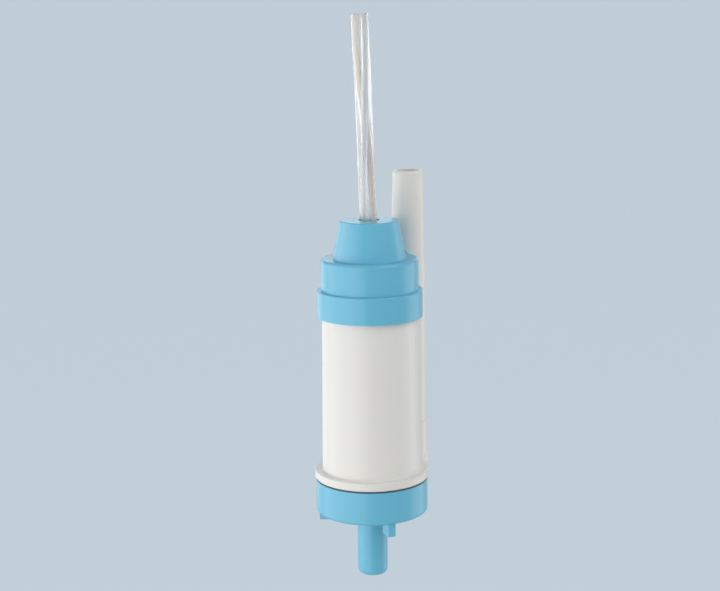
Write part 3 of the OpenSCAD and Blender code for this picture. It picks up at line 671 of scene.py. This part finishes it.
@dataclass
class Cable:
    """The clear two-core cable out of the cone, cut square at its upper end."""

    sheath_d: float = 6.4 * MM
    conductor_d: float = 1.9 * MM
    conductor_offset: float = 1.25 * MM
    lumen_gap: float = 0.1 * MM
    lumen_stop: float = 0.4 * MM
    twist_deg: float = 200.0
    tinned_start_deg: float = -165.0
    strands: int = 9
    strand_lay: float = 11 * MM
    strand_groove: float = 0.13
    sheath_edge: float = 0.25 * MM
    conductor_edge: float = 0.1 * MM
    bare_end: float = 0.05 * MM
    lead_in: float = 2 * MM
    smooth_steps: int = 6
    strand_steps: int = 24
    sheath_columns: int = 64
    strand_columns: int = 90
    # Points of the route in millimetres from the middle of the cone's top
    points: tuple[Point, ...] = (
        (0, 0, -11.5), (0, 0, -6.5), (0, 0, -1.5), (-0.2, -0.2, 4.5), (-0.4, -0.3, 10.5),
        (-0.5, -0.4, 16.5), (-0.6, -0.5, 22.5), (-0.7, -0.6, 28.5), (-0.9, -0.7, 34.5), (-1, -0.8, 40.5),
        (-1.2, -1, 46.5), (-1.4, -1.1, 52.5), (-1.6, -1.2, 58.5), (-1.8, -1.4, 64.5), (-1.9, -1.6, 70.5),
        (-2.1, -1.7, 75),
    )
    # Points of the copper tail inside the cap, in millimetres from the pump axis and the terminals' top.
    # The tinned tail lies on the other side of the axis.
    tail_points: tuple[Point, ...] = (
        (10.5, 4.6, -2.5), (10.5, 4.6, 1.5), (9, 4.2, 5.5), (5, 3, 9.5), (1.2, 1.6, 13),
    )

    def __post_init__(self) -> None:
        """Takes the cable's exit from the cone and the foot of its tails from the frame."""
        shaft_low, shaft_high = (np.array(corner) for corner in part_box("motor_shaft"))
        x, y = ((shaft_low + shaft_high) / 2)[:2].tolist()
        self.exit_point: Point = (x, y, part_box("top_cap")[1][2])
        self.tail_foot: Point = (x, y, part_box("motor_terminals")[1][2])

    def route(self) -> np.ndarray:
        """The route's points in metres."""
        return np.array(self.exit_point) + np.array(self.points) * MM

    def middle_line(self) -> np.ndarray:
        """The smooth line along the cable's middle."""
        return smooth_line(self.route(), self.smooth_steps)

    def core_route(self, turn: int) -> np.ndarray:
        """One core's points round the cable's middle.

        The angle round the middle grows evenly from the start angle by the twist.

        Args:
            turn: 0 for the core at the start angle, 1 for the one on the other side.

        Returns:
            The points in metres, one per row.
        """
        middle = self.route()
        start = self.tinned_start_deg + 180 * turn
        angle = np.radians(start + self.twist_deg * np.linspace(0.0, 1.0, len(middle)))
        around = np.stack([np.cos(angle), np.sin(angle), 0 * angle], axis=1)
        return middle + self.conductor_offset * around

    def conductor_route(self, turn: int) -> np.ndarray:
        """One conductor's points: its tail from the terminal, then its core.

        Args:
            turn: 0 for the conductor at the start angle, 1 for the one on the other side.

        Returns:
            The points in metres, one per row.
        """
        tail_side = 1.0 if turn else -1.0
        core = self.core_route(turn)
        core[-1, 2] += self.bare_end
        lead = core[:1] - (0.0, 0.0, self.lead_in)
        tail = np.array(self.tail_foot) + np.array(self.tail_points) * MM * (tail_side, tail_side, 1.0)
        return np.vstack([tail, lead, core])

    def lumen(self, turn: int) -> Surface:
        """The hollow round one conductor, which stops short of both ends of the sheath.

        Args:
            turn: 0 for the conductor at the start angle, 1 for the one on the other side.

        Returns:
            The hollow's surface, with its faces outward.
        """
        core = self.core_route(turn)
        core[0, 2] += self.lumen_stop
        core[-1, 2] -= self.lumen_stop
        line = smooth_line(core, self.smooth_steps)
        radius = np.full((len(line), self.sheath_columns), self.conductor_d / 2 + self.lumen_gap)
        return round_tube(line, radius, self.conductor_edge)

    def build_sheath(self, wardrobe: Wardrobe) -> bpy.types.Object:
        """The clear sheath: a round tube along the smooth route, hollow where the conductors run.

        Args:
            wardrobe: The finishes.

        Returns:
            The finished piece.
        """
        line = self.middle_line()
        radius = np.full((len(line), self.sheath_columns), self.sheath_d / 2)
        outside = round_tube(line, radius, self.sheath_edge)
        piece = mesh_object("clear_sheath", outside, self.lumen(0).inward(), self.lumen(1).inward())
        return wardrobe.finish_piece(piece, Slot.CLEAR_PVC, Body.HOUSING, "cable_sheath")

    def build_conductor(
        self, wardrobe: Wardrobe, name: str, slot: Slot, node: str, turn: int
    ) -> bpy.types.Object:
        """One stranded conductor.

        The radius dips in a groove between each two strands: it is the full radius less the groove's
        share times one minus the size of the cosine of half the strand count times the angle, where the
        angle turns once in each lay length along the wire.

        Args:
            wardrobe: The finishes.
            name: The piece's name.
            slot: The finish that it takes.
            node: The solid that it stands for.
            turn: 0 for the conductor at the start angle, 1 for the one on the other side.

        Returns:
            The finished piece.
        """
        line = smooth_line(self.conductor_route(turn), self.strand_steps)
        angle = np.arange(self.strand_columns) * 2 * math.pi / self.strand_columns
        lay = line_length(line) * 2 * math.pi / self.strand_lay
        crest = np.abs(np.cos(self.strands / 2 * (angle[None, :] - lay[:, None])))
        radius = self.conductor_d / 2 * (1 - self.strand_groove * (1 - crest))
        piece = mesh_object(name, round_tube(line, radius, self.conductor_edge))
        return wardrobe.finish_piece(piece, slot, Body.HOUSING, node)

    def build(self, wardrobe: Wardrobe) -> None:
        """Args:
            wardrobe: The finishes.
        """
        sheath = self.build_sheath(wardrobe)
        tinned = self.build_conductor(wardrobe, "tinned_strands", Slot.TINNED_COPPER, "conductor_tinned", 0)
        copper = self.build_conductor(wardrobe, "copper_strands", Slot.COPPER, "conductor_copper", 1)


@dataclass
class BrushSpring:
    """A coil spring that presses one brush on the commutator, built at one length."""

    side: Side
    wire_d: float = 0.36 * MM
    turns: int = 5
    closing: float = 0.65
    wire_edge: float = 0.06 * MM
    wire_columns: int = 16
    turn_steps: int = 36

    @property
    def node(self) -> str:
        """The solid that it stands for."""
        return f"brush_spring_{self.side.value}"

    def helix(self) -> np.ndarray:
        """The middle line of the wire, which fills the solid's box.

        The angle round the brush's axis grows evenly. The way along the axis is the share of the whole
        angle less a sine wave of it, so that the turns close up at both ends.

        Returns:
            The points in metres, one per row.
        """
        low, high = (np.array(corner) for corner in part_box(self.node))
        middle = (low + high) / 2
        radius = (high[1] - low[1] - self.wire_d) / 2
        share = np.linspace(0.0, 1.0, self.turns * self.turn_steps + 1)
        angle = 2 * math.pi * self.turns * share
        eased = share - self.closing * np.sin(2 * math.pi * share) / (2 * math.pi)
        x = low[0] + self.wire_d / 2 + eased * (high[0] - low[0] - self.wire_d)
        y = middle[1] + radius * np.cos(angle)
        z = middle[2] + radius * np.sin(angle)
        return np.stack([x, y, z], axis=1)

    def shorten(self, piece: bpy.types.Object) -> None:
        """Gives the finished spring a mesh of its own; the spring keeps its length.

        Args:
            piece: The finished spring.
        """
        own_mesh(piece)

    def build(self, wardrobe: Wardrobe) -> None:
        """Builds the spring as a round wire along its helix.

        Args:
            wardrobe: The finishes.
        """
        line = self.helix()
        radius = np.full((len(line), self.wire_columns), self.wire_d / 2)
        wire = round_tube(line, radius, self.wire_edge, across=(1.0, 0.0, 0.0))
        piece = mesh_object(f"coil_spring_{self.side.value}", wire)
        wardrobe.finish_piece(piece, Slot.SPRING_STEEL, Body.HOUSING, self.node)
        self.shorten(piece)


@dataclass(frozen=True)
class SoftBox:
    """A rectangular soft light that faces the pump.

    Its bearing is measured round the pump from the camera's side, and grows to the camera's right.
    """

    name: str
    bearing_deg: float
    elevation_deg: float
    distance: float
    width: float
    height: float
    radiance: float

    def build(self, middle: np.ndarray, right: np.ndarray, away: np.ndarray) -> None:
        """Adds the light to the scene.

        Args:
            middle: The point that it faces.
            right: The level direction to the camera's right.
            away: The level direction away from the camera.
        """
        bearing, elevation = math.radians(self.bearing_deg), math.radians(self.elevation_deg)
        level = right * math.sin(bearing) - away * math.cos(bearing)
        toward = level * math.cos(elevation) + np.array([0.0, 0.0, math.sin(elevation)])
        data = bpy.data.lights.new(self.name, "AREA")
        data.shape = "RECTANGLE"
        data.size, data.size_y = self.width, self.height
        data.energy = self.radiance * math.pi * self.width * self.height
        light = bpy.data.objects.new(self.name, data)
        light.location = middle + toward * self.distance
        light.rotation_euler = Vector(-toward).to_track_quat("-Z", "Y").to_euler()
        light.visible_camera = False
        bpy.context.scene.collection.objects.link(light)


@dataclass
class Studio:
    """Camera, soft lights, pale floor and pale surroundings."""

    middle: Point = (0.0, -23.8 * MM, -30 * MM)
    azimuth_deg: float = 39.3
    tilt_rad: float = 0.188
    roll_rad: float = -0.013
    camera_place: Point = (0.3406, -0.4457, 0.08825)
    lens_mm: float = 73.785
    sensor_mm: float = 36.0
    clip_start: float = 10 * MM
    floor_drop: float = 0.7
    floor_size: float = 60.0
    floor_paint: Colour = (0.68, 0.68, 0.67)
    floor_roughness: float = 0.9
    floor_colour: Colour = (0.60, 0.70, 0.79)
    floor_glow: float = 0.8
    horizon_light: float = 0.80
    zenith_light: float = 0.16
    # Each light's name, bearing, elevation, distance, width, height and radiance
    lights: tuple[SoftBox, ...] = (
        SoftBox("side_strip", -76, -16, 1.1, 1.7, 0.46, 1.6),
        SoftBox("upper_strip", -74, 6, 1.1, 2.4, 0.34, 2.05),
        SoftBox("left_rim", -138, -8, 1.3, 0.9, 0.6, 0.8),
        SoftBox("front_strip", -26, -16, 1.1, 0.6, 0.46, 1.3),
        SoftBox("front_fill", 52, 44, 1.3, 1.0, 1.0, 1.9),
        SoftBox("right_rim", 108, -10, 1.1, 0.8, 0.7, 1.0),
        SoftBox("back_strip", 180, 14, 1.6, 1.6, 0.45, 0.7),
    )

    def axes(self) -> tuple[np.ndarray, np.ndarray]:
        """The level directions of the camera.

        Returns:
            The direction to its right and the one away from it.
        """
        turn = math.radians(self.azimuth_deg)
        right = np.array([math.cos(turn), math.sin(turn), 0.0])
        away = np.array([-math.sin(turn), math.cos(turn), 0.0])
        return right, away

    def build_camera(self) -> None:
        """Sets the camera at the photograph's angle: level axes, tilted down, then rolled."""
        right, away = self.axes()
        up = np.array([0.0, 0.0, 1.0])
        ahead = away * math.cos(self.tilt_rad) - up * math.sin(self.tilt_rad)
        top = away * math.sin(self.tilt_rad) + up * math.cos(self.tilt_rad)
        across = right * math.cos(self.roll_rad) + top * math.sin(self.roll_rad)
        upright = top * math.cos(self.roll_rad) - right * math.sin(self.roll_rad)
        data = bpy.data.cameras.new("camera")
        data.lens = self.lens_mm
        data.sensor_width = self.sensor_mm
        data.clip_start = self.clip_start
        camera = bpy.data.objects.new("camera", data)
        place = np.eye(4)
        place[:3] = np.stack([across, upright, -ahead, self.camera_place], axis=1)
        camera.matrix_world = Matrix(place.tolist())
        bpy.context.scene.collection.objects.link(camera)
        bpy.context.scene.camera = camera

    def build_floor(self) -> None:
        """A flat pale floor well below the pump, which keeps some light and shadow where it is seen."""
        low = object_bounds()[0][2] - self.floor_drop
        half = self.floor_size / 2
        mesh = bpy.data.meshes.new("floor")
        corners = [(-half, -half, low), (half, -half, low), (half, half, low), (-half, half, low)]
        mesh.from_pydata(corners, [], [(0, 1, 2, 3)])
        floor = bpy.data.objects.new("floor", mesh)
        bpy.context.scene.collection.objects.link(floor)
        board = ShaderBoard("floor_paint")
        paint = (*self.floor_paint, 1.0)
        board.set(Base_Color=paint, Roughness=self.floor_roughness, Specular_IOR_Level=0.0)
        glow = board.add("ShaderNodeEmission", Color=(*self.floor_colour, 1.0))
        share = board.add("ShaderNodeMath")
        share.operation = "MULTIPLY"
        share.inputs[1].default_value = self.floor_glow
        board.join(seen_directly(board.tree), share, 0)
        mix = board.add("ShaderNodeMixShader")
        board.join(share.outputs[0], mix, 0)
        board.join(board.shader.outputs[0], mix, 1)
        board.join(glow.outputs[0], mix, 2)
        board.join(mix.outputs[0], board.tree.nodes["Material Output"], "Surface")
        mesh.materials.append(board.material)
        floor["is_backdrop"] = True

    def build_world(self) -> None:
        """Soft light from all round, stronger low down, and the far floor's colour for rays that see it.

        Far away the floor has its glow and, for the rest, the level light of the surroundings: a third of
        the light at the horizon and two thirds of the light overhead.
        """
        world = bpy.data.worlds.new("studio")
        world.use_nodes = True
        tree = world.node_tree
        ambient = tree.nodes["Background"]
        ambient.inputs["Color"].default_value = (1.0, 1.0, 1.0, 1.0)
        way = tree.nodes.new("ShaderNodeTexCoord")
        split = tree.nodes.new("ShaderNodeSeparateXYZ")
        fall = tree.nodes.new("ShaderNodeMapRange")
        fall.inputs["To Min"].default_value = self.horizon_light
        fall.inputs["To Max"].default_value = self.zenith_light
        backdrop = tree.nodes.new("ShaderNodeBackground")
        far_light = (self.horizon_light + 2 * self.zenith_light) / 3
        lit = np.array(self.floor_paint) * far_light
        seen = lit + (np.array(self.floor_colour) - lit) * self.floor_glow
        backdrop.inputs["Color"].default_value = (*seen, 1.0)
        mix = tree.nodes.new("ShaderNodeMixShader")
        tree.links.new(way.outputs["Generated"], split.inputs[0])
        tree.links.new(split.outputs["Z"], fall.inputs["Value"])
        tree.links.new(fall.outputs["Result"], ambient.inputs["Strength"])
        tree.links.new(seen_directly(tree), mix.inputs[0])
        tree.links.new(ambient.outputs[0], mix.inputs[1])
        tree.links.new(backdrop.outputs[0], mix.inputs[2])
        tree.links.new(mix.outputs[0], tree.nodes["World Output"].inputs["Surface"])
        bpy.context.scene.world = world

    def build(self) -> None:
        """Sets up the whole studio."""
        bpy.context.scene.view_settings.view_transform = "Standard"
        self.build_camera()
        self.build_floor()
        self.build_world()
        right, away = self.axes()
        for light in self.lights:
            light.build(np.array(self.middle), right, away)
        LOG.info("built the studio with %d lights", len(self.lights))


def main() -> None:
    """Builds the studio and the pump's pieces in order."""
    logging.basicConfig(level=logging.INFO, format="%(name)s: %(message)s")
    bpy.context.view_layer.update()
    Studio().build()
    wardrobe = Wardrobe()
    Cable().build(wardrobe)
    for side in Side:
        BrushSpring(side).build(wardrobe)
    wardrobe.dress_frame()


if __name__ == "__main__":
    main()
